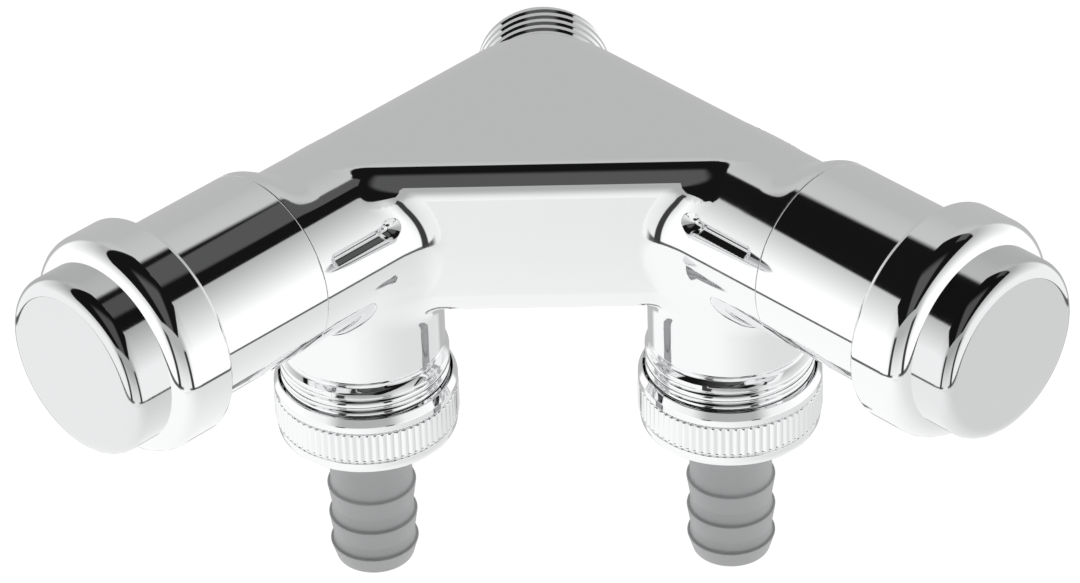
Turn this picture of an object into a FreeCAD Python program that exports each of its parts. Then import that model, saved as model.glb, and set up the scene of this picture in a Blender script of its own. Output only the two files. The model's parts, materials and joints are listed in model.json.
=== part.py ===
import FreeCAD, Part
import math
import os

V = FreeCAD.Vector

# Twin washing machine valve, all lengths in mm.
# The origin is the centre of the end face of the wall thread. X runs to the right as seen
# from the front, Y runs to the wall and Z runs up. Each side piece is modelled for the left
# side, with its long axis along the left arm or the left leg, and mirrored for the right.

# cutting tools run past the faces they cut, and joined lumps sink into each other
overrun = 1.0
overlap = 0.5

# body casting
back_face_y = -11.4
arm_start_y = -13.46
arm_angle = 45.0
arm_radius = 13.0
arm_offset = 1.1
web_front_y = -52.4
web_step = 0.05
web_half_height = arm_radius - web_step
web_front_fillet = 5.0
back_edge_fillet = 1.2
inside_corner_fillet = 2.0
head_flare_start = 53.4
head_flare_end = 58.3
joint_s = 59.2
head_step = 1.5
head_radius = arm_radius + head_step
arm_root_length = 16.0
blank_reach = 100.0

# wall thread, nominal G 1/2
inlet_radius = 10.48
inlet_bore_radius = 7.5

# water ways in the arms
passage_radius = 6.0
seat_s = 30.0
seat_height = 1.0
seat_land = 1.5
chamber_radius = 9.8

# cored hollow in the web
core_half_height = 8.5
core_back_y = -17.0
core_back_half_width = 4.5
core_arm_s = 22.0
core_arm_outer = -5.5
core_arm_inner = 12.4
core_front_y = -49.2
core_front_half_width = 17.0

# legs with outlet threads, nominal G 3/4
leg_s = 40.1
leg_step = 0.3
leg_radius = arm_radius - leg_step
leg_taper = 1.2
leg_top_radius = leg_radius - leg_taper
leg_shoulder_z = -6.0
leg_upper_bore_radius = 8.4
leg_bore_radius = 9.6
leg_end_z = -34.0
outlet_radius = 13.22
outlet_top_z = -23.3
outlet_chamfer = 0.8

# keyhole recess in the arm heads
keyhole_tilt = 22.0
keyhole_floor = 12.1
keyhole_bulb_s = 45.2
keyhole_bulb_radius = 2.1
keyhole_half_width = 1.15
keyhole_end_s = 57.4
keyhole_cut = 6.0

# sleeve over the headwork
sleeve_radius = head_radius
sleeve_wall = 1.3
sleeve_flange = 1.5
sleeve_edge = 1.0
sleeve_tuck = 2.6

# headwork
thread_gap = 0.05
slide_gap = 0.06
bonnet_start_s = 46.5
collar_radius = 12.0
collar_length = 5.0
collar_flats = 21.0
neck_radius = 7.5
neck_end_s = 76.0
hex_flats = 11.5
hex_end_s = 56.0
thrust_radius = 5.7
thrust_end_s = 58.0
spindle_radius = 4.4
spindle_thread_radius = 3.35
spindle_start_s = 42.4
spindle_collar_s = 56.2
seal_groove_depth = 1.5
seal_groove_length = 2.0
bonnet_seal_s = 57.0
lower_seal_s = 63.5
upper_seal_s = 70.5
clip_gap = 0.06
clip_thickness = 0.9
clip_groove_radius = 3.4
clip_radius = 6.2
clip_mouth = 4.0
spindle_end_s = 87.4

# plunger and its washer
washer_radius = 7.8
washer_thickness = 3.0
plunger_flange_radius = 8.6
plunger_flange = 2.0
plunger_bore_s = 37.0
plunger_end_s = 49.5
washer_screw_radius = 1.6
washer_screw_head_radius = 3.4
washer_screw_head = 1.4
washer_screw_length = 6.2

# hand wheel
ring_start_s = 80.7
ring_end_s = 90.2
ring_rim = 3.0
ring_radius = sleeve_radius + ring_rim
ring_front_fillet = 3.0
ring_back_fillet = 0.8
ring_skirt_gap = 0.4
ring_skirt_radius = sleeve_radius + ring_skirt_gap
ring_web_start_s = 84.2
ring_web_end_s = 87.6
hub_radius = 6.6
hub_start_s = 77.6
spline_radius = 4.0
spline_gap = 0.05
cap_radius = 14.35
cap_end_s = 97.0
cap_edge = 2.2
cap_wall = 1.3
cap_plug_radius = 13.2
press_gap = 0.03
knob_screw_radius = 2.0
knob_screw_length = 8.0
knob_screw_head_radius = 5.0
knob_screw_head = 2.2

# check valve in the leg
check_top_z = -20.0
check_end_z = -33.9
check_radius = 9.5
check_inner_radius = 7.3
check_seat_radius = 5.2
check_seat_thickness = 1.6
check_guide_z = -32.2
check_guide_radius = 2.4
check_spoke = 1.6
poppet_radius = 6.3
poppet_thickness = 1.6
stem_radius = 1.2
stem_end_z = -33.5
check_seal_z = -23.4
check_groove_depth = 1.4
check_spring_inner = 2.75
check_spring_outer = 3.45

# hose tail, gasket and nut
gasket_thickness = 2.0
gasket_radius = 12.0
gasket_hole_radius = 7.5
tail_flange = 2.0
tail_flange_radius = 12.1
tail_shoulder_radius = 7.2
tail_core_radius = 6.5
tail_rib_radius = 7.0
tail_rib_z = (-51.0, -56.8, -62.1)
tail_rib_length = 3.4
tail_end_z = -65.3
tail_end_radius = 6.1
tail_bore_radius = 4.8
nut_top_z = -29.4
nut_end_z = -40.0
nut_mouth_radius = 13.75
nut_radius = 14.3
nut_knurl_top_z = -31.8
nut_knurl_end_z = -37.3
nut_lower_radius = 14.1
nut_lower_edge = 1.4

UP = V(0, 0, 1)
side_cos = math.cos(math.radians(arm_angle))
side_sin = math.sin(math.radians(arm_angle))


def arm_point(s, across=0.0, z=0.0):
    """Point at distance s along the left arm, 'across' towards the front inner side."""
    x = -s * side_sin + across * side_cos
    y = arm_start_y - s * side_cos - across * side_sin
    return V(x, y, z)


arm_direction = V(-side_sin, -side_cos, 0)
across_direction = V(side_cos, -side_sin, 0)
arm_rotation = FreeCAD.Rotation(across_direction, UP, arm_direction, "ZXY")
leg_centre = arm_point(leg_s)


def on_arm(shape):
    """Move a shape made round the Z axis onto the left arm, Z becomes s."""
    moved = shape.copy()
    onto_arm = FreeCAD.Placement(arm_point(0), arm_rotation)
    moved.Placement = onto_arm.multiply(moved.Placement)
    return moved


def on_leg(shape):
    """Move a shape made round the Z axis onto the left leg."""
    moved = shape.copy()
    moved.translate(V(leg_centre.x, leg_centre.y, 0))
    return moved


def rod(radius, z0, z1):
    return Part.makeCylinder(radius, z1 - z0, V(0, 0, z0))


def pipe(outer, inner, z0, z1):
    return rod(outer, z0, z1).cut(rod(inner, z0 - overrun, z1 + overrun))


def turned(points):
    """Solid of revolution round Z from a list of (radius, z) points."""
    corners = [V(r, 0, z) for r, z in points]
    face = Part.Face(Part.makePolygon(corners + [corners[0]]))
    return face.revolve(V(0, 0, 0), UP, 360)


def hexagon(flats, z0, z1):
    reach = flats / 2 / math.cos(math.radians(30))
    corners = []
    for i in range(7):
        angle = math.radians(60 * i + 30)
        corners.append(V(reach * math.cos(angle), reach * math.sin(angle), z0))
    return Part.Face(Part.makePolygon(corners)).extrude(V(0, 0, z1 - z0))


def seal_ring(inner, outer, z):
    """Ring seal round Z with eight-sided section, as wide as it is thick."""
    half = (outer - inner) / 2
    corner = half * (1 - math.tan(math.radians(22.5)))
    ring = [(inner, z - half + corner), (inner, z + half - corner)]
    ring += [(inner + corner, z + half), (outer - corner, z + half)]
    ring += [(outer, z + half - corner), (outer, z - half + corner)]
    ring += [(outer - corner, z - half), (inner + corner, z - half)]
    return turned(ring)


def circle_edges(shape, radius, z):
    """Edges of full circles round Z with the given radius and height."""
    found = []
    for edge in shape.Edges:
        curve = edge.Curve
        if isinstance(curve, Part.Circle):
            if abs(curve.Radius - radius) < 0.01 and abs(curve.Center.z - z) < 0.01:
                found.append(edge)
    return found


def mirrored(shape):
    return shape.mirror(V(0, 0, 0), V(1, 0, 0))


def prism(points, z0, z1):
    """Upright prism over a list of plan points."""
    corners = [V(p.x, p.y, z0) for p in points]
    return Part.Face(Part.makePolygon(corners + [corners[0]])).extrude(V(0, 0, z1 - z0))


def arm_circle(s, radius, across):
    circle = Part.makeCircle(radius, V(across, 0, s))
    return Part.Wire([circle])


def arm_blank():
    """Arm casting. Its outside lies off the bore axis, its head flares out to meet it."""
    start = V(arm_offset, 0, -arm_root_length)
    tube = Part.makeCylinder(arm_radius, head_flare_start + arm_root_length, start)
    length = head_flare_end - head_flare_start
    rings = []
    for step in (0.0, 0.15, 0.4, 0.6, 0.85, 1.0):
        blend = step * step * (3 - 2 * step)
        radius = arm_radius + (head_radius - arm_radius) * blend
        across = arm_offset * (1 - blend)
        rings.append(arm_circle(head_flare_start + length * step, radius, across))
    flare = Part.makeLoft(rings, True, False)
    head = rod(head_radius, head_flare_end, joint_s)
    return on_arm(tube.fuse([flare, head]))


def web_blank():
    """Left half of the web, flat above and below, with rounded front edges."""
    h = web_half_height
    y0 = web_front_y
    crest = arm_point(arm_offset, arm_offset)
    reach = crest.y - y0
    slab = Part.makeBox(reach, reach, 2 * h, V(-reach, y0, -h))
    front_edges = []
    for edge in slab.Edges:
        a = edge.Vertexes[0].Point
        b = edge.Vertexes[1].Point
        if abs(a.y - y0) < 0.01 and abs(b.y - y0) < 0.01 and abs(a.x - b.x) > 1:
            front_edges.append(edge)
    slab = slab.makeFillet(web_front_fillet, front_edges)
    plan = prism([V(0, crest.y, 0), V(-reach, y0, 0), V(0, y0, 0)], -h, h)
    return slab.common(plan)


def leg_blank():
    shoulder = Part.makeCone(leg_radius, leg_top_radius, -leg_shoulder_z, V(0, 0, leg_shoulder_z))
    stem = rod(leg_radius, outlet_top_z, leg_shoulder_z)
    thread = rod(outlet_radius, leg_end_z, outlet_top_z)
    end = circle_edges(thread, outlet_radius, leg_end_z)
    return on_leg(shoulder.fuse([stem, thread.makeChamfer(outlet_chamfer, end)]))


def leg_bore():
    upper = rod(leg_upper_bore_radius, check_top_z, 0)
    lower = rod(leg_bore_radius, leg_end_z - overrun, check_top_z)
    return on_leg(upper.fuse(lower))


def arm_bore():
    """Passage to the seat, then the chamber, with the seat left standing as a ring."""
    passage = rod(passage_radius, core_arm_s - 2 * overrun, seat_s + overrun)
    chamber = rod(chamber_radius, seat_s - seat_height, joint_s + overrun)
    seat_start = seat_s - seat_height - overrun
    seat = pipe(passage_radius + seat_land, passage_radius, seat_start, seat_s)
    return on_arm(passage.fuse(chamber.cut(seat)))


def keyhole():
    """Flat floored recess in the arm head, a round end with a slot that runs outwards."""
    floor = V(keyhole_floor, 0, 0)
    bulb = Part.makeCylinder(keyhole_bulb_radius, keyhole_cut, floor, V(1, 0, 0))
    length = keyhole_end_s - keyhole_half_width - keyhole_bulb_s
    width = 2 * keyhole_half_width
    slot = Part.makeBox(keyhole_cut, width, length, V(keyhole_floor, -keyhole_half_width, 0))
    end_at = V(keyhole_floor, 0, length)
    end = Part.makeCylinder(keyhole_half_width, keyhole_cut, end_at, V(1, 0, 0))
    tool = bulb.fuse([slot, end])
    tool.translate(V(0, 0, keyhole_bulb_s))
    tool.rotate(V(0, 0, 0), UP, keyhole_tilt)
    return on_arm(tool)


def core_left():
    points = [V(0, core_back_y, 0), V(-core_back_half_width, core_back_y, 0)]
    points.append(arm_point(core_arm_s, core_arm_outer))
    points.append(arm_point(core_arm_s, core_arm_inner))
    points.append(V(-core_front_half_width, core_front_y, 0))
    points.append(V(0, core_front_y, 0))
    return prism(points, -core_half_height, core_half_height)


def sleeve():
    end_s = ring_start_s + sleeve_tuck
    tube = rod(sleeve_radius, joint_s, end_s)
    tube = tube.makeFillet(sleeve_edge, circle_edges(tube, sleeve_radius, joint_s))
    bore = rod(sleeve_radius - sleeve_wall, joint_s + sleeve_flange, end_s + overrun)
    hole = rod(chamber_radius + thread_gap, joint_s - overrun, end_s)
    return tube.cut(bore).cut(hole)


def bonnet():
    """Headwork body. Its lower part screws into the arm and its collar clamps the sleeve."""
    thread_radius = chamber_radius - thread_gap
    collar_s = joint_s + sleeve_flange
    lower = rod(thread_radius, bonnet_start_s, collar_s)
    collar = hexagon(collar_flats, collar_s, collar_s + collar_length)
    collar = collar.common(rod(collar_radius, collar_s, collar_s + collar_length))
    neck = rod(neck_radius, collar_s, neck_end_s)
    shape = lower.fuse([collar, neck])
    shape = shape.cut(hexagon(hex_flats + 2 * slide_gap, bonnet_start_s - 1, hex_end_s))
    shape = shape.cut(rod(thrust_radius + slide_gap, hex_end_s - 1, thrust_end_s))
    shape = shape.cut(rod(spindle_radius + slide_gap, thrust_end_s - 1, neck_end_s + 1))
    half = seal_groove_length / 2
    root = thread_radius - seal_groove_depth
    groove = pipe(chamber_radius + 1, root, bonnet_seal_s - half, bonnet_seal_s + half)
    return shape.cut(groove)


def spindle():
    clip_s = neck_end_s + clip_gap
    thread = rod(spindle_thread_radius, spindle_start_s, spindle_collar_s + overlap)
    collar = rod(thrust_radius, spindle_collar_s, thrust_end_s - slide_gap)
    shaft = rod(spindle_radius, spindle_collar_s, clip_s + clip_thickness)
    spline = rod(spline_radius, clip_s, spindle_end_s)
    shape = thread.fuse([collar, shaft, spline])
    half = seal_groove_length / 2
    root = spindle_radius - seal_groove_depth
    for s in (lower_seal_s, upper_seal_s):
        shape = shape.cut(pipe(spindle_radius + overrun, root, s - half, s + half))
    outer = spindle_radius + overrun
    groove = pipe(outer, clip_groove_radius, clip_s, clip_s + clip_thickness)
    hole_start = ring_web_end_s - knob_screw_length - 0.4
    hole = rod(knob_screw_radius + press_gap, hole_start, spindle_end_s + overrun)
    return shape.cut(groove).cut(hole)


def spindle_clip():
    """C shaped spring clip in the spindle's groove, lying on the end of the neck."""
    s0 = neck_end_s + clip_gap
    ring = pipe(clip_radius, clip_groove_radius + press_gap, s0, s0 + clip_thickness - 0.02)
    corner = V(0, -clip_mouth / 2, s0 - overrun)
    mouth = Part.makeBox(clip_radius + overrun, clip_mouth, clip_thickness + 2 * overrun, corner)
    return ring.cut(mouth)


def plunger():
    flange_s = seat_s + washer_thickness
    flange = rod(plunger_flange_radius, flange_s, flange_s + plunger_flange)
    stem = hexagon(hex_flats, flange_s, plunger_end_s)
    shape = flange.fuse(stem)
    bore = spindle_thread_radius + thread_gap
    shape = shape.cut(rod(bore, plunger_bore_s, plunger_end_s + overrun))
    hole_end = seat_s + washer_screw_length + 0.3
    return shape.cut(rod(washer_screw_radius + press_gap, flange_s - overrun, hole_end))


def seat_washer():
    hole = washer_screw_radius + thread_gap
    return pipe(washer_radius, hole, seat_s, seat_s + washer_thickness)


def washer_screw():
    head = rod(washer_screw_head_radius, seat_s - washer_screw_head, seat_s)
    shank = rod(washer_screw_radius, seat_s - overlap, seat_s + washer_screw_length)
    return head.fuse(shank)


def knob_ring():
    """Hand wheel: rim with a skirt over the sleeve's end, a web and a splined hub."""
    rim = rod(ring_radius, ring_start_s, ring_end_s)
    rim = rim.makeFillet(ring_front_fillet, circle_edges(rim, ring_radius, ring_end_s))
    rim = rim.makeFillet(ring_back_fillet, circle_edges(rim, ring_radius, ring_start_s))
    rim = rim.cut(rod(ring_skirt_radius, ring_start_s - overrun, ring_web_start_s))
    rim = rim.cut(rod(cap_plug_radius + press_gap, ring_web_end_s, ring_end_s + overrun))
    hub = rod(hub_radius, hub_start_s, ring_web_start_s + overlap)
    bore = rod(spline_radius + spline_gap, hub_start_s - overrun, ring_web_end_s + overrun)
    return rim.fuse(hub).cut(bore)


def knob_cap():
    shell = rod(cap_radius, ring_end_s, cap_end_s)
    shell = shell.makeFillet(cap_edge, circle_edges(shell, cap_radius, cap_end_s))
    plug = rod(cap_plug_radius, ring_web_end_s, ring_end_s + overlap)
    hollow = rod(cap_plug_radius - cap_wall, ring_web_end_s - overrun, cap_end_s - cap_wall)
    return shell.fuse(plug).cut(hollow)


def knob_screw():
    head = rod(knob_screw_head_radius, ring_web_end_s, ring_web_end_s + knob_screw_head)
    start = ring_web_end_s - knob_screw_length
    shank = rod(knob_screw_radius, start, ring_web_end_s + overlap)
    return head.fuse(shank)


def check_housing():
    """Cage of the check valve: a seat at the top, a spider with the guide below."""
    seat_z = check_top_z - check_seat_thickness
    wall = pipe(check_radius, check_inner_radius, check_end_z, check_top_z)
    seat = pipe(check_inner_radius + overlap, check_seat_radius, seat_z, check_top_z)
    guide = rod(check_guide_radius, check_end_z, check_guide_z)
    spokes = []
    for i in range(3):
        length = check_inner_radius + overlap
        height = check_guide_z - check_end_z
        spoke = Part.makeBox(length, check_spoke, height, V(0, -check_spoke / 2, check_end_z))
        spoke.rotate(V(0, 0, 0), UP, 120 * i)
        spokes.append(spoke)
    shape = wall.fuse([seat, guide] + spokes)
    shape = shape.cut(rod(stem_radius + slide_gap, check_end_z - overrun, check_guide_z + overrun))
    half = seal_groove_length / 2
    root = check_radius - check_groove_depth
    outer = check_radius + overrun
    return shape.cut(pipe(outer, root, check_seal_z - half, check_seal_z + half))


def check_poppet():
    seat_z = check_top_z - check_seat_thickness
    disc = rod(poppet_radius, seat_z - poppet_thickness, seat_z)
    return disc.fuse(rod(stem_radius, stem_end_z, seat_z - poppet_thickness / 2))


def check_spring():
    top_z = check_top_z - check_seat_thickness - poppet_thickness
    return pipe(check_spring_outer, check_spring_inner, check_guide_z, top_z)


def hose_gasket():
    return pipe(gasket_radius, gasket_hole_radius, leg_end_z - gasket_thickness, leg_end_z)


def hose_tail():
    """Flanged tail, a shoulder in the nut's hole, then a stem with three hose ribs."""
    flange_top = leg_end_z - gasket_thickness
    flange_end = flange_top - tail_flange
    points = [(tail_bore_radius, flange_top), (tail_flange_radius, flange_top)]
    points += [(tail_flange_radius, flange_end), (tail_shoulder_radius, flange_end)]
    points += [(tail_shoulder_radius, nut_end_z), (tail_core_radius, nut_end_z)]
    for z in tail_rib_z:
        points.append((tail_core_radius, z))
        points.append((tail_rib_radius, z))
        if z != tail_rib_z[-1]:
            points.append((tail_core_radius, z - tail_rib_length))
    points += [(tail_end_radius, tail_end_z), (tail_bore_radius, tail_end_z)]
    return turned(points)


def union_nut():
    """Nut with a cone at the mouth, a knurled band and a rounded lower edge."""
    floor_z = leg_end_z - gasket_thickness - tail_flange
    bore = outlet_radius + thread_gap
    hole = tail_shoulder_radius + slide_gap
    points = [(bore, nut_top_z), (nut_mouth_radius, nut_top_z)]
    points += [(nut_radius, nut_knurl_top_z), (nut_radius, nut_knurl_end_z)]
    points += [(nut_lower_radius, nut_knurl_end_z), (nut_lower_radius, nut_end_z)]
    points += [(hole, nut_end_z), (hole, floor_z), (bore, floor_z)]
    shape = turned(points)
    return shape.makeFillet(nut_lower_edge, circle_edges(shape, nut_lower_radius, nut_end_z))


def is_inside_corner(shape, edge):
    """True where more than half of a small circle round the edge lies in the solid."""
    middle = (edge.FirstParameter + edge.LastParameter) / 2
    point = edge.valueAt(middle)
    along = edge.tangentAt(middle)
    first = along.cross(V(0.3, 0.5, 0.8)).normalize()
    second = along.cross(first)
    steps = 24
    filled = 0
    for i in range(steps):
        angle = 2 * math.pi * (i + 0.5) / steps
        test = point + first * (0.1 * math.cos(angle)) + second * (0.1 * math.sin(angle))
        if shape.isInside(test, 0.0001, False):
            filled += 1
    return filled > steps / 2


def body_half():
    """Outside of the left half, cut off at the middle plane and at the back face."""
    half = arm_blank().fuse([web_blank(), leg_blank()])
    far = blank_reach
    room = Part.makeBox(far, far + back_face_y, far, V(-far, -far, -far / 2))
    half = half.common(room).removeSplitter().Solids[0]
    above_thread = [e for e in half.Edges if e.BoundBox.ZMin > outlet_top_z + 1]
    corners = [e for e in above_thread if is_inside_corner(half, e)]
    half = half.makeFillet(inside_corner_fillet, corners)
    rim = []
    for edge in half.Edges:
        box = edge.BoundBox
        if box.YMin > back_face_y - 0.01 and box.XLength > 1:
            rim.append(edge)
    return half.makeFillet(back_edge_fillet, rim)


def body():
    half = body_half()
    shape = half.fuse(mirrored(half)).removeSplitter()
    spigot = rod(inlet_radius, 0, -back_face_y + overlap)
    inlet_bore = rod(inlet_bore_radius, -overrun, -core_back_y + 3 * overrun)
    for tool in (spigot, inlet_bore):
        tool.rotate(V(0, 0, 0), V(1, 0, 0), 90)
    shape = shape.fuse(spigot)
    core = core_left()
    cuts = [inlet_bore, core, mirrored(core)]
    for tool in (arm_bore(), leg_bore(), keyhole()):
        cuts.append(tool)
        cuts.append(mirrored(tool))
    for tool in cuts:
        shape = shape.cut(tool)
    return shape.removeSplitter()


def side_pieces():
    """The pieces of the left side by name, each in its place."""
    root = chamber_radius - thread_gap - seal_groove_depth
    pieces = {
        "sleeve": on_arm(sleeve()),
        "bonnet": on_arm(bonnet()),
        "bonnet_seal": on_arm(seal_ring(root, chamber_radius, bonnet_seal_s)),
        "spindle": on_arm(spindle()),
        "spindle_clip": on_arm(spindle_clip()),
        "plunger": on_arm(plunger()),
        "seat_washer": on_arm(seat_washer()),
        "washer_screw": on_arm(washer_screw()),
        "knob_ring": on_arm(knob_ring()),
        "knob_cap": on_arm(knob_cap()),
        "knob_screw": on_arm(knob_screw()),
        "check_housing": on_leg(check_housing()),
        "check_poppet": on_leg(check_poppet()),
        "check_spring": on_leg(check_spring()),
        "hose_gasket": on_leg(hose_gasket()),
        "hose_tail": on_leg(hose_tail()),
        "union_nut": on_leg(union_nut()),
    }
    root = spindle_radius - seal_groove_depth
    for name, s in (("lower", lower_seal_s), ("upper", upper_seal_s)):
        pieces["spindle_seal_" + name] = on_arm(seal_ring(root, spindle_radius, s))
    root = check_radius - check_groove_depth
    pieces["check_seal"] = on_leg(seal_ring(root, leg_bore_radius, check_seal_z))
    return pieces


os.makedirs("parts", exist_ok=True)
body().exportStep("parts/body.step")
for piece_name, piece in side_pieces().items():
    piece.exportStep("parts/left_" + piece_name + ".step")
    mirrored(piece).exportStep("parts/right_" + piece_name + ".step")
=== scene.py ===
import json
import math

import bmesh
import bpy
import numpy as np
from mathutils import Matrix, Vector


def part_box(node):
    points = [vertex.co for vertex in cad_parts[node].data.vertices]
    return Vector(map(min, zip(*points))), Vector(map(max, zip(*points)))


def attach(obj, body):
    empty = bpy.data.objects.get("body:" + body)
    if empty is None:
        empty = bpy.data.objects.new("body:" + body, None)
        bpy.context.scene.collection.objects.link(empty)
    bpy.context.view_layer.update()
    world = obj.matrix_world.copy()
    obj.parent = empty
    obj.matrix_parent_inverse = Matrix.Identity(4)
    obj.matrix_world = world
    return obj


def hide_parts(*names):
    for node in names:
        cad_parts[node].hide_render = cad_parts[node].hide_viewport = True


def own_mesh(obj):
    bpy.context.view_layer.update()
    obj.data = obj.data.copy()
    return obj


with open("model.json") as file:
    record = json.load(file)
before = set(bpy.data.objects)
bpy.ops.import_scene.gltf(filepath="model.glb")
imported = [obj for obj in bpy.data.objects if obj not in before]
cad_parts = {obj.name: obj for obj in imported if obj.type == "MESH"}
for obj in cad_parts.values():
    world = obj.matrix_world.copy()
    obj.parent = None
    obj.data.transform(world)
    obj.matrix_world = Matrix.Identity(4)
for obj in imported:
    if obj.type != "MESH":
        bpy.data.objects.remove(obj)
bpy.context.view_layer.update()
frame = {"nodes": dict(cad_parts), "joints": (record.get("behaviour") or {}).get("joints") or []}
MM = 0.001

# Cast body. One brass casting with a flat web between two arms that part at a right angle
# and a leg under each arm. It is ground, polished and plated with chrome, so its edges are
# soft and every inside corner is a smooth hollow. Its water ways are cored and bored.
joints = {joint["name"]: joint for joint in frame["joints"]}
left_out = Vector(joints["left_knob_turn"]["axis"])
left_knob_at = Vector(joints["left_knob_turn"]["pos_m"])
left_leg_at = Vector(joints["left_nut_turn"]["pos_m"])
knob_joint_s = 85.0 * MM
arm_root = left_knob_at - left_out * knob_joint_s
across = Vector((-left_out.y, left_out.x, 0.0))
leg_s = (left_leg_at - arm_root).dot(left_out)

arm_back_radius = 13.0 * MM
arm_back_offset = 1.1 * MM
head_radius = 14.5 * MM
half_thickness = 13.0 * MM
flat_round = 1.2 * MM
flare_start = 53.4 * MM
flare_end = 58.3 * MM
joint_s = 59.2 * MM
web_front_y = -52.4 * MM
web_front_round = 4.0 * MM
back_face_y = -11.4 * MM
back_round = 1.2 * MM
arm_web_blend = 2.4 * MM
flat_web_blend = 0.5 * MM
leg_blend = 3.4 * MM
leg_radius = 12.7 * MM
leg_top_radius = 11.5 * MM
leg_shoulder_z = -6.0 * MM
leg_end_z = -23.3 * MM
keyhole_tilt = math.radians(22.0)
keyhole_bulb_depth = 0.4 * MM
keyhole_bulb_wall = 1.0 * MM
keyhole_slot_depth = 0.8 * MM
keyhole_bulb_s = 45.2 * MM
keyhole_slot_s = 56.1 * MM
keyhole_bulb_radius = 2.0 * MM
keyhole_slot_radius = 1.3 * MM
keyhole_rim = 0.6 * MM
keyhole_cuts = 6
rough_spare = 2.0 * MM
rough_back_half_width = 8 * MM
skin_voxel = 0.52 * MM
skin_rounds = 7
resettle_rounds = 3
longest_move = 1.0 * MM
slope_step = 0.01 * MM
slowest_rise = 0.05
skin_tolerance = 0.03 * MM
least_agreement = 0.8
round_segments = 96
weld = 0.001 * MM
inlet_bore_radius = 7.5 * MM
inlet_bore_reach = (-20.0 * MM, 2.0 * MM)
core_half_height = 8.5 * MM
# The core's half plan and the (radius, height) outlines of the bores are in mm.
core_half_plan = [(4.5, -17.0), (19.5, -28.0), (24.4, -37.8), (17.0, -49.2)]
arm_bore = [(0, 18), (6.0, 18), (6.0, 30.0), (7.5, 30.0), (7.5, 29.0)]
arm_bore += [(9.8, 29.0), (9.8, 62.0), (0, 62.0)]
leg_bore = [(0, 0), (8.4, 0), (8.4, -20.0), (9.6, -20.0), (9.6, -26.0), (0, -26.0)]


def arm_coordinates(points):
    """Distance out along the arm and across it, with both sides folded onto the left."""
    x = -np.abs(points[:, 0]) - arm_root.x
    y = points[:, 1] - arm_root.y
    out = x * left_out.x + y * left_out.y
    side = x * across.x + y * across.y
    return out, side, points[:, 2]


def both_inside(a, b, edge):
    """Where two solids overlap, with the edge between them rounded to a radius."""
    beyond = np.hypot(np.maximum(a + edge, 0), np.maximum(b + edge, 0))
    return np.minimum(np.maximum(a, b), -edge) + beyond


def smooth_step(share):
    """Rise from 0 to 1 that starts and ends level."""
    share = np.clip(share, 0, 1)
    return share * share * (3 - 2 * share)


def melted(a, b, reach):
    """Union of two distances with a hollow blend, and the share that the second has in it."""
    share = np.clip(0.5 + 0.5 * (a - b) / reach, 0, 1)
    return a + (b - a) * share - reach * share * (1 - share), smooth_step(share)


def arms_and_web(points):
    """Arms that are round in front, flat above and below and slimmer behind, with a flared
    head. The web fills the corner between them and lies flush with their flat sides."""
    out, side, z = arm_coordinates(points)
    round_head = np.hypot(side, z) - head_radius
    flat = np.abs(z) - half_thickness
    meet = np.clip(1 - np.abs(round_head - flat) / flat_round, 0, 1)
    arm = np.maximum(round_head, flat) + flat_round / 4 * meet * meet
    web = both_inside(web_front_y - points[:, 1], flat, web_front_round)
    reach = arm_web_blend * smooth_step(-flat / web_front_round) + flat_web_blend
    front = np.maximum(melted(arm, web, reach)[0], flat)
    back = np.hypot(side - arm_back_offset, z) - arm_back_radius
    section = np.where(side > arm_back_offset, front, back)
    flare = smooth_step((out - flare_start) / (flare_end - flare_start))
    return section + (round_head - section) * flare


def leg_field(points):
    """Legs that start inside the arms and widen down to the shoulder."""
    out, side, z = arm_coordinates(points)
    step = np.clip(z / leg_shoulder_z, -1, 1)
    radius = leg_top_radius + (leg_radius - leg_top_radius) * step
    return np.maximum(np.hypot(out - leg_s, side) - radius, z + leg_shoulder_z)


def slope(field, points):
    """Unit direction in which a field grows fastest, and how fast it grows."""
    here = field(points)
    grown = [(field(points + slope_step * axis) - here) / slope_step for axis in np.eye(3)]
    rise = np.stack(grown, axis=1)
    speed = np.maximum(np.linalg.norm(rise, axis=1, keepdims=True), slowest_rise)
    return rise / speed, speed


def casting_field(points):
    """Distance outside the casting's surface, without its keyholes and bores."""
    solid = melted(arms_and_web(points), leg_field(points), leg_blend)[0]
    return both_inside(solid, points[:, 1] - back_face_y, back_round)


def stand(z_axis, x_axis, place):
    """Placement that turns a piece made round Z onto another axis."""
    z_axis = z_axis.normalized()
    y_axis = z_axis.cross(x_axis).normalized()
    x_axis = y_axis.cross(z_axis)
    turn = Matrix((x_axis, y_axis, z_axis)).transposed().to_4x4()
    return Matrix.Translation(place) @ turn


def arm_place(side):
    """Placement of a piece made round Z onto an arm, with side -1 left and 1 right."""
    out = Vector((-side * left_out.x, left_out.y, 0))
    return stand(out, Vector((0, 0, 1)), Vector((-side * arm_root.x, arm_root.y, 0)))


def leg_place(side):
    """Placement of a piece made round Z onto a leg."""
    return Matrix.Translation((-side * left_leg_at.x, left_leg_at.y, 0))


wall_place = stand(Vector((0, 1, 0)), Vector((1, 0, 0)), Vector((0, 0, 0)))


def add_rod(bm, radius, low, high, place):
    """Closed rod round Z between two heights, put in place."""
    middle = Matrix.Translation((0, 0, (low + high) / 2))
    bmesh.ops.create_cone(
        bm,
        cap_ends=True,
        segments=round_segments,
        radius1=radius,
        radius2=radius,
        depth=high - low,
        matrix=place @ middle,
    )


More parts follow.
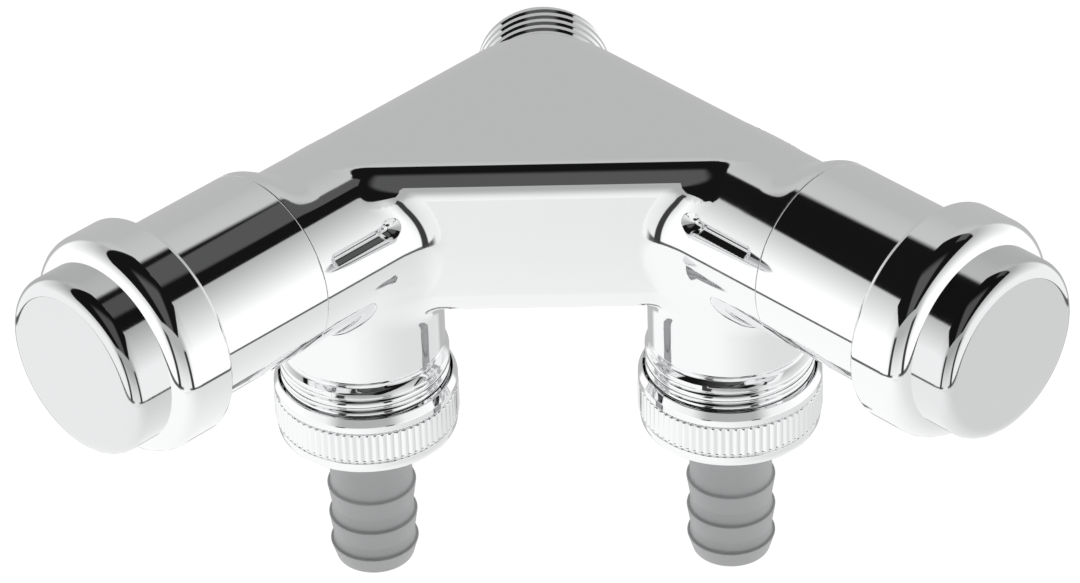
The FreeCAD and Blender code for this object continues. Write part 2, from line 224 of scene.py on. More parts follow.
def add_prism(bm, plan, low, high):
    """Closed upright prism over a plan outline."""
    corners = [bm.verts.new((x, y, low)) for x, y in plan]
    floor = bm.faces.new(corners)
    raised = bmesh.ops.extrude_face_region(bm, geom=[floor], use_keep_orig=True)
    tops = [item for item in raised["geom"] if isinstance(item, bmesh.types.BMVert)]
    bmesh.ops.translate(bm, verts=tops, vec=(0, 0, high - low))
    bmesh.ops.recalc_face_normals(bm, faces=bm.faces)


def spun(outline, place, steps):
    """Closed mesh turned round Z from a closed outline of (radius, height) points."""
    bm = bmesh.new()
    corners = [bm.verts.new((radius, 0, height)) for radius, height in outline]
    edges = [bm.edges.new(pair) for pair in zip(corners, corners[1:] + corners[:1])]
    bmesh.ops.spin(
        bm,
        geom=corners + edges,
        cent=(0, 0, 0),
        axis=(0, 0, 1),
        angle=2 * math.pi,
        steps=steps,
        use_merge=True,
    )
    bmesh.ops.remove_doubles(bm, verts=bm.verts, dist=weld)
    bmesh.ops.dissolve_degenerate(bm, edges=bm.edges, dist=weld)
    bmesh.ops.transform(bm, verts=bm.verts, matrix=place)
    bmesh.ops.recalc_face_normals(bm, faces=bm.faces)
    return bm


def new_piece(name, bm):
    """Object from a bmesh, at the origin with its place in its mesh."""
    mesh = bpy.data.meshes.new(name)
    bm.to_mesh(mesh)
    bm.free()
    piece = bpy.data.objects.new(name, mesh)
    bpy.context.scene.collection.objects.link(piece)
    return piece


def smooth(piece, angle=35.0):
    """Shades a piece smooth except over its sharp edges."""
    piece.data.shade_smooth()
    piece.data.set_sharp_from_angle(angle=math.radians(angle))


def apply_modifiers(piece):
    """Replaces a piece's mesh by what its modifiers make of it."""
    bpy.context.view_layer.update()
    graph = bpy.context.evaluated_depsgraph_get()
    finished = bpy.data.meshes.new_from_object(piece.evaluated_get(graph))
    finished.materials.clear()
    finished.polygons.foreach_set("material_index", [0] * len(finished.polygons))
    piece.modifiers.clear()
    piece.data = finished


def cut_away(piece, tools):
    """Cuts closed tool meshes out of a closed piece, one after the other."""
    for bm in tools:
        tool = new_piece("cutter", bm)
        cut = piece.modifiers.new("cut", "BOOLEAN")
        cut.operation = "DIFFERENCE"
        cut.solver = "MANIFOLD"
        cut.object = tool
        apply_modifiers(piece)
        bpy.data.objects.remove(tool)


def cut_flat(bm, place, direction):
    """Cuts a closed mesh off at a plane and closes the cut with a flat face."""
    cut = bmesh.ops.bisect_plane(
        bm,
        geom=bm.verts[:] + bm.edges[:] + bm.faces[:],
        plane_co=place,
        plane_no=direction,
        clear_outer=True,
    )
    rim = [item for item in cut["geom_cut"] if isinstance(item, bmesh.types.BMEdge)]
    bmesh.ops.holes_fill(bm, edges=rim, sides=0)


def rough_casting():
    """Overlapping rods and a slab, a little large, remeshed to one skin to be shaped."""
    bm = bmesh.new()
    for side in (-1, 1):
        add_rod(bm, head_radius, 0, joint_s + rough_spare, arm_place(side))
        add_rod(bm, leg_radius, leg_end_z - rough_spare, 0, leg_place(side))
    front = arm_root.y - web_front_y
    plan = [(-rough_back_half_width, back_face_y), (rough_back_half_width, back_face_y)]
    plan += [(front, web_front_y), (-front, web_front_y)]
    add_prism(bm, plan, -half_thickness, half_thickness)
    piece = new_piece("body_casting", bm)
    remesh = piece.modifiers.new("skin", "REMESH")
    remesh.mode = "VOXEL"
    remesh.voxel_size = skin_voxel
    apply_modifiers(piece)
    return piece


def points_of(mesh):
    """All points of a mesh as rows of x, y and z."""
    points = np.empty(len(mesh.vertices) * 3)
    mesh.vertices.foreach_get("co", points)
    return points.reshape(-1, 3)


def shape_casting(piece, rounds):
    """Moves every point of the skin onto the casting's true surface."""
    mesh = piece.data
    points = points_of(mesh)
    for _ in range(rounds):
        reach = np.clip(casting_field(points), -longest_move, longest_move)
        direction, speed = slope(casting_field, points)
        points -= reach[:, None] * direction / speed
    mesh.vertices.foreach_set("co", points.ravel())
    mesh.update()


def keyhole_place(points):
    """Distances inside the round end and the slot, seen square to the arm's upper front."""
    out, side, z = arm_coordinates(points)
    rise = side * math.cos(keyhole_tilt) + z * math.sin(keyhole_tilt)
    along = z * math.cos(keyhole_tilt) - side * math.sin(keyhole_tilt)
    bulb = keyhole_bulb_radius - np.hypot(out - keyhole_bulb_s, along)
    nearest = np.clip(out, keyhole_bulb_s, keyhole_slot_s)
    slot = keyhole_slot_radius - np.hypot(out - nearest, along)
    far_outside = -1.0
    return np.where(rise > 0, bulb, far_outside), np.where(rise > 0, slot, far_outside)


def press_keyholes(piece):
    """Sinks a recess with a round end and a slot into the front of each arm."""
    place = np.maximum(*keyhole_place(points_of(piece.data)))
    bm = bmesh.new()
    bm.from_mesh(piece.data)
    bm.verts.ensure_lookup_table()
    edges = [e for e in bm.edges if min(place[v.index] for v in e.verts) > -keyhole_rim]
    bmesh.ops.subdivide_edges(bm, edges=edges, cuts=keyhole_cuts, use_grid_fill=True)
    bm.to_mesh(piece.data)
    bm.free()
    shape_casting(piece, resettle_rounds)
    points = points_of(piece.data)
    bulb, slot = keyhole_place(points)
    sink = keyhole_bulb_depth * smooth_step(bulb / keyhole_bulb_wall)
    sink += keyhole_slot_depth * smooth_step(slot / keyhole_slot_radius)
    towards = np.where(points[:, 0] < 0, 1, -1)
    points[:, 0] -= sink * towards * across.x * math.cos(keyhole_tilt)
    points[:, 1] -= sink * across.y * math.cos(keyhole_tilt)
    points[:, 2] -= sink * math.sin(keyhole_tilt)
    piece.data.vertices.foreach_set("co", points.ravel())
    piece.data.update()


def true_normals(piece):
    """Shades the outside by the direction of the true surface, not of the small faces."""
    mesh = piece.data
    points = points_of(mesh)
    direction = slope(casting_field, points)[0]
    off = np.abs(casting_field(points))
    corners = np.empty(len(mesh.loops), dtype=np.int64)
    mesh.loops.foreach_get("vertex_index", corners)
    faces = np.empty(len(mesh.polygons) * 3)
    mesh.polygons.foreach_get("normal", faces)
    counts = np.empty(len(mesh.polygons), dtype=np.int64)
    mesh.polygons.foreach_get("loop_total", counts)
    facing = np.repeat(faces.reshape(-1, 3), counts, axis=0)
    normals = direction[corners]
    agrees = np.sum(facing * normals, axis=1) > least_agreement
    normals[~(agrees & (off[corners] < skin_tolerance))] = 0
    mesh.normals_split_custom_set(normals.tolist())


def trim_casting(piece):
    """Faces off the ends of the arms and legs."""
    bm = bmesh.new()
    bm.from_mesh(piece.data)
    for side in (-1, 1):
        arm = arm_place(side)
        cut_flat(bm, arm @ Vector((0, 0, joint_s)), arm.to_3x3() @ Vector((0, 0, 1)))
    cut_flat(bm, Vector((0, 0, leg_end_z)), Vector((0, 0, -1)))
    bmesh.ops.recalc_face_normals(bm, faces=bm.faces)
    bm.to_mesh(piece.data)
    bm.free()


def bore(radius, reach, place):
    """Tool for a straight bore round Z between two heights."""
    bm = bmesh.new()
    add_rod(bm, radius, *reach, place)
    return bm


def water_ways():
    """Tools for the inlet, the cored web, the two chambers and the bores of the legs."""
    core = bmesh.new()
    plan = [(x * MM, y * MM) for x, y in core_half_plan]
    plan += [(-x, y) for x, y in reversed(plan)]
    add_prism(core, plan, -core_half_height, core_half_height)
    tools = [bore(inlet_bore_radius, inlet_bore_reach, wall_place), core]
    for side in (-1, 1):
        for outline, place in ((arm_bore, arm_place(side)), (leg_bore, leg_place(side))):
            corners = [(radius * MM, height * MM) for radius, height in outline]
            tools.append(spun(corners, place, round_segments))
    return tools


casting = rough_casting()
shape_casting(casting, skin_rounds)
press_keyholes(casting)
trim_casting(casting)
cut_away(casting, water_ways())
smooth(casting)
true_normals(casting)


def add_node(tree, kind, **settings):
    """New shader node with its settings."""
    node = tree.nodes.new(kind)
    for name, value in settings.items():
        setattr(node, name, value)
    return node


def add_ramp(tree, value, start, end, low=0.0, high=1.0, kind="SMOOTHSTEP"):
    """Node that takes a value between two limits to a number between two others."""
    node = add_node(tree, "ShaderNodeMapRange", interpolation_type=kind)
    tree.links.new(value, node.inputs["Value"])
    for socket, limit in zip(node.inputs[1:5], (start, end, low, high)):
        socket.default_value = limit
    return node.outputs["Result"]


grain_detail = 3.0
grain_low = 0.3
grain_high = 0.7


def finish_with_grain(name, colour, metallic, roughness, spread, grain, grain_size):
    """Surface whose gloss and height vary a little in a fine pattern on the object."""
    material = bpy.data.materials.new(name)
    material.use_nodes = True
    tree = material.node_tree
    shader = tree.nodes["Principled BSDF"]
    shader.inputs["Base Color"].default_value = (*colour, 1.0)
    shader.inputs["Metallic"].default_value = metallic
    place = add_node(tree, "ShaderNodeTexCoord")
    noise = add_node(tree, "ShaderNodeTexNoise")
    noise.inputs["Scale"].default_value = 1.0 / grain_size
    noise.inputs["Detail"].default_value = grain_detail
    tree.links.new(place.outputs["Object"], noise.inputs["Vector"])
    gloss_range = (grain_low, grain_high, roughness - spread, roughness + spread)
    gloss = add_ramp(tree, noise.outputs["Fac"], *gloss_range, "LINEAR")
    tree.links.new(gloss, shader.inputs["Roughness"])
    bump = add_node(tree, "ShaderNodeBump")
    bump.inputs["Strength"].default_value = 1.0
    bump.inputs["Distance"].default_value = grain
    tree.links.new(noise.outputs["Fac"], bump.inputs["Height"])
    tree.links.new(bump.outputs["Normal"], shader.inputs["Normal"])
    return material


cast_chrome = finish_with_grain(
    "polished_cast_chrome",
    colour=(0.87, 0.875, 0.88),
    metallic=1.0,
    roughness=0.045,
    spread=0.015,
    grain=0.008 * MM,
    grain_size=7.0 * MM,
)
casting.data.materials.append(cast_chrome)
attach(casting, "valve")
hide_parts("body")

# Wall thread. A half inch pipe thread cut on the spigot at the back of the casting, which
# screws into the fitting in the wall. It is plated with the body, and its first turn runs
# out smooth where the spigot meets the body.
pitch = 1.814 * MM
steps_per_turn = 72
# Shares of the pitch and of the thread's height.
thread_form = [(0.0, 0.0), (0.03, 0.05), (0.23, 0.93), (0.27, 1.0), (0.73, 1.0)]
thread_form += [(0.77, 0.93), (0.97, 0.05)]
# Made round Z with the free end at 0. The limits are (height, radius) pairs.
wall_root = 9.75 * MM
wall_crest = 10.48 * MM
wall_low = -11.6 * MM
wall_limits = [(wall_low, 9.9 * MM), (-10.6 * MM, 9.9 * MM), (-9.6 * MM, wall_crest)]
wall_limits += [(-0.8 * MM, wall_crest), (0.0, 9.7 * MM)]


def thread_blank(root, crest, low, high):
    """Threaded rod round Z, closed flat at both ends. Its profile is one pitch, spun up."""
    spare_turns = 3
    turns = math.ceil((high - low) / pitch) + spare_turns
    start = low - spare_turns / 2 * pitch
    bm = bmesh.new()
    profile = []
    for share, rise in thread_form:
        profile.append((root + (crest - root) * rise, start + pitch * share))
    profile.append((root, start + pitch))
    corners = [bm.verts.new((radius, 0, height)) for radius, height in profile]
    edges = [bm.edges.new(pair) for pair in zip(corners, corners[1:])]
    bmesh.ops.spin(
        bm,
        geom=corners + edges,
        cent=(0, 0, 0),
        axis=(0, 0, 1),
        dvec=(0, 0, pitch / steps_per_turn),
        angle=2 * math.pi * turns,
        steps=steps_per_turn * turns,
    )
    bmesh.ops.remove_doubles(bm, verts=bm.verts, dist=weld)
    cut_flat(bm, Vector((0, 0, high)), Vector((0, 0, 1)))
    cut_flat(bm, Vector((0, 0, low)), Vector((0, 0, -1)))
    bmesh.ops.recalc_face_normals(bm, faces=bm.faces)
    return bm


def limit_radius(bm, outer, inner=((0.0, 0.0),)):
    """Keeps points off the axis between two rising lists of (height, radius) pairs."""
    on_axis = 1.0 * MM
    for vert in bm.verts:
        radius = math.hypot(vert.co.x, vert.co.y)
        if radius > on_axis:
            highest = float(np.interp(vert.co.z, *zip(*outer)))
            lowest = float(np.interp(vert.co.z, *zip(*inner)))
            scale = min(max(radius, lowest), highest) / radius
            vert.co.x *= scale
            vert.co.y *= scale


bm = thread_blank(wall_root, wall_crest, wall_low, 0.0)
limit_radius(bm, wall_limits)
bmesh.ops.transform(bm, verts=bm.verts, matrix=wall_place)
bmesh.ops.recalc_face_normals(bm, faces=bm.faces)
wall_end = new_piece("wall_thread", bm)
cut_away(wall_end, [bore(inlet_bore_radius, inlet_bore_reach, wall_place)])
smooth(wall_end, angle=30.0)
wall_end.data.materials.append(cast_chrome)
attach(wall_end, "valve")

# Outlet threads. A three quarter inch thread is cut on each leg below the casting and plated
# with it, and a plain neck parts it from the leg's shoulder. Its upper turns are shallow, and
# it is full where the hose's union nut holds it.
sides = ((-1, "left"), (1, "right"))
outlet_root = 12.06 * MM
outlet_crest = 13.22 * MM
outlet_low = -34.0 * MM
outlet_bore_radius = 9.6 * MM
outlet_bore_reach = (-36.0 * MM, -22.0 * MM)
outlet_limits = [(outlet_low, 12.4 * MM), (-33.2 * MM, outlet_crest)]
outlet_limits += [(-25.1 * MM, outlet_crest), (-24.5 * MM, 12.3 * MM)]
outlet_limits += [(-23.9 * MM, 12.3 * MM), (-23.6 * MM, leg_radius), (leg_end_z, leg_radius)]
shallow_turns = [(-31.0 * MM, outlet_root), (-29.6 * MM, 12.86 * MM)]
for side, name in sides:
    place = leg_place(side)
    bm = thread_blank(outlet_root, outlet_crest, outlet_low, leg_end_z)
    limit_radius(bm, outlet_limits, shallow_turns)
    bmesh.ops.transform(bm, verts=bm.verts, matrix=place)
    outlet = new_piece(f"{name}_outlet_thread", bm)
    cut_away(outlet, [bore(outlet_bore_radius, outlet_bore_reach, place)])
    smooth(outlet, angle=50.0)
    outlet.data.materials.append(cast_chrome)
    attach(outlet, "valve")

# Sleeves. A thin turned brass shell slides over each headwork and is held between the
# body and the collar of the headwork. It is polished to a mirror, and its inner edge is
# rounded, which leaves a fine light line where it meets the body.
turned_chrome = finish_with_grain(
    "polished_turned_chrome",
    colour=(0.88, 0.885, 0.89),
    metallic=1.0,
    roughness=0.04,
    spread=0.01,
    grain=0.0,
    grain_size=9.0 * MM,
)


def rounded(corners, per_arc=7):
    """Closed outline from (radius, height, rounding) corners in mm, rounded with arcs.

    A guard point just outside each arc keeps the straight runs flat in the shading.
    """
    guard = 0.02 * MM
    outline = []
    for index, (radius, height, rounding) in enumerate(corners):
        here = Vector((radius, height)) * MM
        if not rounding:
            outline.append((here.x, here.y))
            continue
        before = Vector(corners[index - 1][:2]) * MM - here
        after = Vector(corners[(index + 1) % len(corners)][:2]) * MM - here
        before.normalize()
        after.normalize()
        half = before.angle(after) / 2
        reach = rounding * MM / math.tan(half)
        centre = here + (before + after).normalized() * (rounding * MM / math.sin(half))
        start = here + before * reach - centre
        swing = start.angle_signed(here + after * reach - centre)
        outline.append(tuple(here + before * (reach + guard)))
        for step in range(per_arc + 1):
            turn = Matrix.Rotation(-swing * step / per_arc, 2)
            point = centre + turn @ start
            outline.append((point.x, point.y))
        outline.append(tuple(here + after * (reach + guard)))
    return outline


def turned_piece(name, corners, place, steps=128):
    """Polished piece turned round its own axis."""
    piece = new_piece(name, spun(rounded(corners), place, steps))
    smooth(piece)
    return piece


sleeve_outline = [
    (9.85, 59.2, 0),
    (14.5, 59.2, 0.25),
    (14.5, 83.3, 0.3),
    (13.2, 83.3, 0.3),
    (13.2, 60.7, 0),
    (9.85, 60.7, 0),
]
for side, name in sides:
    sleeve = turned_piece(f"{name}_sleeve_shell", sleeve_outline, arm_place(side))
    sleeve.data.materials.append(turned_chrome)
    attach(sleeve, "valve")
    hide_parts(f"{name}_sleeve")

# Hand wheel rings. Each is a chrome plated ring with a broad soft front edge. Its skirt
# runs over the end of the sleeve, and its hub slips onto the splines of the spindle.
ring_outline = [
    (4.05, 77.6, 0.2),
    (6.6, 77.6, 0.2),
    (6.6, 84.2, 0.5),
    (14.9, 84.2, 0.5),
    (14.9, 80.7, 0.3),
    (17.5, 80.7, 0.8),
    (17.5, 90.2, 3.3),
    (13.23, 90.2, 0.2),
    (13.23, 87.6, 0),
    (4.05, 87.6, 0.2),
]
for side, name in sides:
    ring = turned_piece(f"{name}_wheel_ring", ring_outline, arm_place(side))
    ring.data.materials.append(turned_chrome)
    ring.visible_glossy = False  # the arms are seen to mirror no wheel
    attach(ring, f"{name}_knob")
    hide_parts(f"{name}_knob_ring")

# Hand wheel caps. A round chrome cap with a soft edge snaps into the front of each ring and
# hides the screw of the hand wheel. Its face is flat with a satin grain and is left bare.
cap_chrome = finish_with_grain(
    "satin_cap_chrome",
    colour=(0.74, 0.745, 0.75),
    metallic=1.0,
    roughness=0.06,
    spread=0.01,
    grain=0.001 * MM,
    grain_size=0.6 * MM,
)
cap_outline = [
    (0, 97.0, 0),
    (14.35, 97.0, 2.4),
    (14.35, 90.2, 0),
    (13.2, 90.2, 0),
    (13.2, 87.6, 0.2),
    (11.9, 87.6, 0.2),
    (11.9, 95.7, 0.5),
    (0, 95.7, 0),
]
for side, name in sides:
    cap = turned_piece(f"{name}_wheel_cap", cap_outline, arm_place(side))
    cap.data.materials.append(cap_chrome)
    cap.visible_glossy = False  # as the rings
    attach(cap, f"{name}_knob")
    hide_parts(f"{name}_knob_cap")

# Union nuts. A brass nut, turned and plated, pulls each hose tail against the leg. A cone
# leads up to its mouth, a straight knurl gives fingers a grip, and its lower edge is round.
knurl_teeth = 74
steps_per_tooth = 6
knurl_depth = 0.36 * MM
knurl_sharpness = 1.5
knurl_low = -37.25 * MM
knurl_high = -32.0 * MM
knurl_from_radius = 14.0 * MM
nut_outline = [
    (13.27, -30.9, 0),
    (13.62, -29.4, 0.04),
    (13.8, -29.4, 0.06),
    (14.35, -30.6, 0.4),
    (14.35, -31.75, 0.12),
    (13.95, -31.8, 0.05),
    (13.95, -32.0, 0.05),
    (14.42, -32.15, 0.25),
    (14.42, -37.1, 0.25),
    (13.95, -37.25, 0.05),
    (13.95, -37.5, 0.05),
    (14.15, -37.6, 0.1),
    (14.15, -40.0, 1.6),
    (7.26, -40.0, 0.3),
    (7.26, -38.0, 0),
    (13.27, -38.0, 0),
]


def knurl(bm, place, low, high):
    """Presses a straight knurl into the band of a turned piece between two heights."""
    back = place.inverted()
    for vert in bm.verts:
        local = back @ vert.co
        radius = math.hypot(local.x, local.y)
        if low < local.z < high and radius > knurl_from_radius:
            angle = math.atan2(local.y, local.x)
            groove = 0.5 - 0.5 * math.cos(knurl_teeth * angle)
            press = knurl_depth * groove**knurl_sharpness
            local.x *= 1 - press / radius
            local.y *= 1 - press / radius
            vert.co = place @ local


for side, name in sides:
    outline = rounded(nut_outline, per_arc=5)
    bm = spun(outline, leg_place(side), knurl_teeth * steps_per_tooth)
    knurl(bm, leg_place(side), knurl_low, knurl_high)
    nut = new_piece(f"{name}_knurled_nut", bm)
    smooth(nut, angle=50.0)
    nut.data.materials.append(turned_chrome)
    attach(nut, f"{name}_nut")
    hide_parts(f"{name}_union_nut")

# Hose tails. Each is moulded in grey plastic with a flange under the nut. Three ribs with a
# sharp upper step hold the hose that is pushed over them, and the end is slightly tapered.
grey_moulding = finish_with_grain(
    "grey_moulded_plastic",
    colour=(0.46, 0.465, 0.47),
    metallic=0.0,
    roughness=0.45,
    spread=0.05,
    grain=0.01 * MM,
    grain_size=0.5 * MM,
)
tail_outline = [
    (4.8, -36.0, 0.2),
    (12.1, -36.0, 0.2),
    (12.1, -38.0, 0),
    (7.2, -38.0, 0),
    (7.2, -40.0, 0.2),
    (6.5, -40.4, 0.3),
    (6.5, -50.9, 0.2),
    (7.05, -51.0, 0.2),
    (6.5, -54.6, 0.5),
    (6.5, -56.7, 0.2),
    (7.05, -56.8, 0.2),
    (6.5, -60.3, 0.5),
    (6.5, -62.0, 0.2),
    (7.05, -62.1, 0.2),
    (6.1, -65.3, 0.5),
    (4.8, -65.3, 0.3),
]
for side, name in sides:
    tail = turned_piece(f"{name}_ribbed_tail", tail_outline, leg_place(side))
    tail.data.materials.append(grey_moulding)
    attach(tail, f"{name}_tail")
    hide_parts(f"{name}_hose_tail")

# Headworks, spindles and plungers. These are turned from brass bar and left bare, because
# the sleeve and the body hide them. A fine grain from the turning tool shows on them.
def repaint(parts, material):
    """Gives parts that keep their CAD shape their material, on both sides."""
    for _, name in sides:
        for part in parts:
            mesh = frame["nodes"][f"{name}_{part}"].data
            mesh.materials.clear()
            mesh.materials.append(material)


bare_brass = finish_with_grain(
    "bare_turned_brass",
    colour=(0.72, 0.47, 0.19),
    metallic=1.0,
    roughness=0.28,
    spread=0.06,
    grain=0.004 * MM,
    grain_size=0.8 * MM,
)
repaint(("bonnet", "spindle", "plunger", "washer_screw"), bare_brass)

# Seals, washers and gaskets. All are moulded in black rubber with a dull skin. They lie in
# their grooves and seats, where the sleeves, the casting and the nuts hide them.
black_rubber = finish_with_grain(
    "black_seal_rubber",
    colour=(0.018, 0.018, 0.019),
    metallic=0.0,
    roughness=0.62,
    spread=0.08,
    grain=0.01 * MM,
    grain_size=0.5 * MM,
)
rubber_parts = ("bonnet_seal", "spindle_seal_lower", "spindle_seal_upper")
rubber_parts += ("seat_washer", "check_seal", "hose_gasket")
repaint(rubber_parts, black_rubber)

# Clips and hand wheel screws. These are bright stainless steel, rolled and not polished.
# The clip holds the spindle in the headwork, and the screw holds the wheel on the spindle.
spring_steel = finish_with_grain(
    "stainless_steel",
    colour=(0.56, 0.57, 0.58),
    metallic=1.0,
    roughness=0.3,
    spread=0.06,
    grain=0.003 * MM,
    grain_size=0.6 * MM,
)
repaint(("spindle_clip", "knob_screw"), spring_steel)

# Check springs. Each is wound from stainless steel wire and stands on the guide of its check
# valve. It pushes the poppet up onto the seat. The real spring is pressed flatter as the poppet
# opens; this one keeps its height.
spring_wire = 0.35 * MM
spring_radius = 3.1 * MM
spring_turns = 6
wire_segments = 8
steps_per_coil = 24


def coil_spring(name, low, high):
    """Wire wound round the middle line of the leg between two heights, its ends cut off."""
    steps = steps_per_coil * spring_turns
    rise = high - low - 2 * spring_wire
    bm = bmesh.new()
    upright = Matrix.Rotation(math.radians(90), 4, "X")
    start = Matrix.Translation((spring_radius, 0, low + spring_wire)) @ upright
    bmesh.ops.create_circle(bm, segments=wire_segments, radius=spring_wire, matrix=start)
    bmesh.ops.spin(
        bm,
        geom=bm.verts[:] + bm.edges[:],
        cent=(0, 0, 0),
        axis=(0, 0, 1),
        dvec=(0, 0, rise / steps),
        angle=2 * math.pi * spring_turns,
        steps=steps,
    )
    bmesh.ops.holes_fill(bm, edges=[edge for edge in bm.edges if edge.is_boundary])
    bmesh.ops.recalc_face_normals(bm, faces=bm.faces)
    return new_piece(name, bm)


for side, name in sides:
    lowest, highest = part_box(f"{name}_check_spring")
    spring = coil_spring(f"{name}_coil_spring", lowest.z, highest.z)
    middle = (lowest + highest) / 2
    spring.data.transform(Matrix.Translation((middle.x, middle.y, 0)))
    smooth(spring, angle=60.0)
    spring.data.materials.append(spring_steel)
    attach(spring, "valve")
    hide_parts(f"{name}_check_spring")
    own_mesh(spring)

# Check valves. The housing and poppet in each leg are moulded in white plastic and press
# into the bore of the leg.
white_moulding = finish_with_grain(
    "white_moulded_plastic",
    colour=(0.74, 0.74, 0.72),
    metallic=0.0,
    roughness=0.4,
    spread=0.05,
    grain=0.008 * MM,
    grain_size=0.5 * MM,
)
repaint(("check_housing", "check_poppet"), white_moulding)

# Floor, light and camera. A white sheet lies under the valve, against white. It is not lit but
# glows with painted light, a little less to the right and at its front edge. The chrome mirrors
# bright panels at its sides, a grey one behind it, a dark one overhead, two thin dark posts in
# front of it and the sheet's dark edge. The camera was fitted to the photograph's outlines.
sheet_half_size = (0.84, 0.72, 1.0)
sheet_middle = (0, -0.25, -0.6)
# Falls and turns are (start, end, value at the start, value at the end), the last two 0 and 1
# where left out. Bands, heights and the other triples are (low, high, softness).
# The paper's two falls set its painted glow, dimmer to the right and at the front edge.
painted_glow_side_fall = (-0.35, 0.82, 1.08, 0.83)
painted_glow_front_fall = (-0.95, -0.84, 0.9, 1.0)
side_fall = (0.0, 0.66, 1.15, 0.5)
front_fall = (-0.6, 0.15, 1.0, 0.48)
front_turn = (-0.5, 0.1, 1.0, 0.0)
sheet_side_fall = (-0.35, 0.8, 1.08, 0.83)
sheet_turn = (-0.515, -0.54)
edge_band = (-0.545, -0.512, 0.006)
edge_turn = (0.15, 0.3)
edge_shade = 0.12
post_band = (0.38, 0.54, 0.02)
post_height = (-0.54, 0.1, 0.03)
post_front_turn = (-0.3, -0.2, 1.0, 0.0)
post_shade = 0.05
behind_turn = (-0.08, 0.16)
behind_fall = (0.7, 1.5, 0.62, 0.54)
lowest_up = 0.02
overhead_bow = 0.3
overhead_across = (-1.75, 1.08, 0.03)
overhead_away = (-2.6, 0.62, 0.04)
overhead_turn = (0.22, 0.3)
overhead_shade = 0.008
patch_across = (0.36, 0.75, 0.02)
patch_away = (0.2, 0.8, 0.03)
near_away_turn = (-0.4, -0.05, 1.0, 0.0)
near_across_turn = (0.3, 0.5, 1.0, 0.0)
lighter_shade = 0.1
backdrop_shade = 1.05


def white_sheet():
    """Oval sheet well below the valve."""
    bm = bmesh.new()
    bmesh.ops.create_circle(bm, cap_ends=True, segments=round_segments, radius=1.0)
    bmesh.ops.scale(bm, verts=bm.verts, vec=sheet_half_size)
    bmesh.ops.translate(bm, verts=bm.verts, vec=sheet_middle)
    return new_piece("floor", bm)


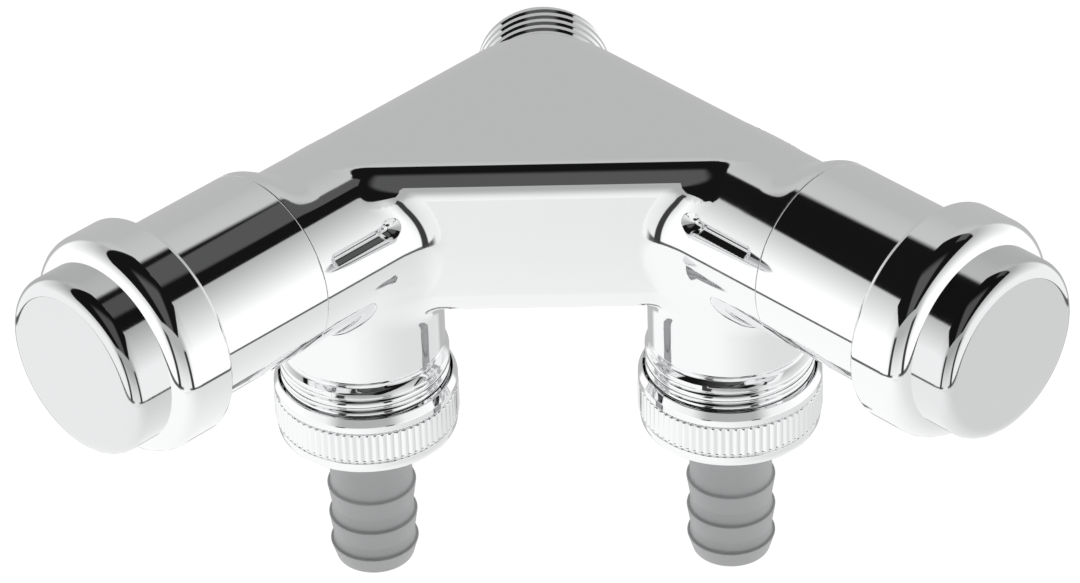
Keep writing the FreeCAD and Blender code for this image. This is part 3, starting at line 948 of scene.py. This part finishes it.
def studio_light():
    """World lit by direction. Overhead, across = x / z and away = y / z place the panels."""
    world = bpy.data.worlds.new("studio")
    bpy.context.scene.world = world
    world.use_nodes = True
    tree = world.node_tree
    light = tree.nodes["Background"]
    light.inputs["Color"].default_value = (1.0, 1.0, 1.0, 1.0)

    def calculate(operation, first, second=0.0, third=0.0):
        node = add_node(tree, "ShaderNodeMath", operation=operation)
        for socket, value in zip(node.inputs, (first, second, third)):
            if isinstance(value, bpy.types.NodeSocket):
                tree.links.new(value, socket)
            else:
                socket.default_value = value
        return node.outputs["Value"]

    def multiply(first, second):
        return calculate("MULTIPLY", first, second)

    def ramp(value, *limits, kind="SMOOTHSTEP"):
        return add_ramp(tree, value, *limits, kind=kind)

    def between(value, low, high, soft):
        rising = ramp(value, low - soft, low + soft)
        falling = ramp(value, high - soft, high + soft, 1.0, 0.0)
        return multiply(rising, falling)

    def mix(share, first, second):
        return calculate("MULTIPLY_ADD", share, calculate("SUBTRACT", second, first), first)

    place = add_node(tree, "ShaderNodeTexCoord")
    split = add_node(tree, "ShaderNodeSeparateXYZ")
    tree.links.new(place.outputs["Generated"], split.inputs["Vector"])
    x, y, z = split.outputs
    aside = calculate("ABSOLUTE", x)
    up = calculate("MAXIMUM", z, lowest_up)
    across = calculate("DIVIDE", x, up)
    away = calculate("DIVIDE", y, up)

    side = ramp(z, *side_fall, kind="LINEAR")
    front = ramp(z, *front_fall)
    walls = mix(ramp(calculate("ADD", y, aside), *front_turn), side, front)
    walls = mix(ramp(z, *sheet_turn), walls, ramp(x, *sheet_side_fall))
    table_edge = multiply(between(z, *edge_band), ramp(aside, *edge_turn))
    walls = mix(table_edge, walls, edge_shade)
    posts = multiply(between(aside, *post_band), between(z, *post_height))
    posts = multiply(posts, ramp(y, *post_front_turn))
    walls = mix(posts, walls, post_shade)
    behind = ramp(calculate("SUBTRACT", y, aside), *behind_turn)
    surround = mix(behind, walls, ramp(away, *behind_fall, kind="LINEAR"))

    bow = multiply(across, across)
    bowed_away = calculate("MULTIPLY_ADD", bow, overhead_bow, away)
    overhead = multiply(between(across, *overhead_across), between(bowed_away, *overhead_away))
    overhead = multiply(overhead, ramp(z, *overhead_turn))
    patch = multiply(between(across, *patch_across), between(away, *patch_away))
    near = ramp(calculate("ABSOLUTE", across), *near_across_turn)
    near = multiply(ramp(away, *near_away_turn), near)
    dark = mix(calculate("MAXIMUM", patch, near), overhead_shade, lighter_shade)
    lit = mix(overhead, surround, dark)
    seen = add_node(tree, "ShaderNodeLightPath")
    strength = mix(seen.outputs["Is Camera Ray"], lit, backdrop_shade)
    tree.links.new(strength, light.inputs["Strength"])


def paper_with_painted_glow():
    """Paper that is not lit but glows with painted light, with painted shade that dims it a
    little to the right and at the front.
    """
    material = bpy.data.materials.new("paper_painted_glow")
    material.use_nodes = True
    tree = material.node_tree
    shader = tree.nodes["Principled BSDF"]
    shader.inputs["Base Color"].default_value = (0.0, 0.0, 0.0, 1.0)
    shader.inputs["Roughness"].default_value = 1.0
    shader.inputs["Specular IOR Level"].default_value = 0.0
    # The paper's white is painted light: black under the lamps, it glows on its own, dimmer to
    # the right and at the front.
    shader.inputs["Emission Color"].default_value = (1.0, 1.0, 1.0, 1.0)
    place = add_node(tree, "ShaderNodeTexCoord")
    split = add_node(tree, "ShaderNodeSeparateXYZ")
    tree.links.new(place.outputs["Object"], split.inputs["Vector"])
    both = add_node(tree, "ShaderNodeMath", operation="MULTIPLY")
    to_side = add_ramp(tree, split.outputs["X"], *painted_glow_side_fall)
    to_front = add_ramp(tree, split.outputs["Y"], *painted_glow_front_fall)
    tree.links.new(to_side, both.inputs[0])
    tree.links.new(to_front, both.inputs[1])
    tree.links.new(both.outputs["Value"], shader.inputs["Emission Strength"])
    return material


floor = white_sheet()
floor.data.materials.append(paper_with_painted_glow())
studio_light()

camera_at = Vector((0.01541, -0.69235, 0.44042))
camera_toward = Vector((-0.02041, 0.81870, -0.57386)).normalized()
camera_roll = -0.0327772
camera_lens = 172.066
camera_clip_start = 0.01
level = camera_toward.cross(Vector((0, 0, 1))).normalized()
upright = level.cross(camera_toward)
camera_right = math.cos(camera_roll) * level + math.sin(camera_roll) * upright
camera_up = camera_right.cross(camera_toward).normalized()
camera_data = bpy.data.cameras.new("camera")
camera_data.lens = camera_lens
camera_data.clip_start = camera_clip_start
camera = bpy.data.objects.new("camera", camera_data)
bpy.context.scene.collection.objects.link(camera)
camera_turn = Matrix((camera_right, camera_up, -camera_toward)).transposed().to_4x4()
camera.matrix_world = Matrix.Translation(camera_at) @ camera_turn
bpy.context.scene.camera = camera
bpy.context.scene.view_settings.view_transform = "Standard"
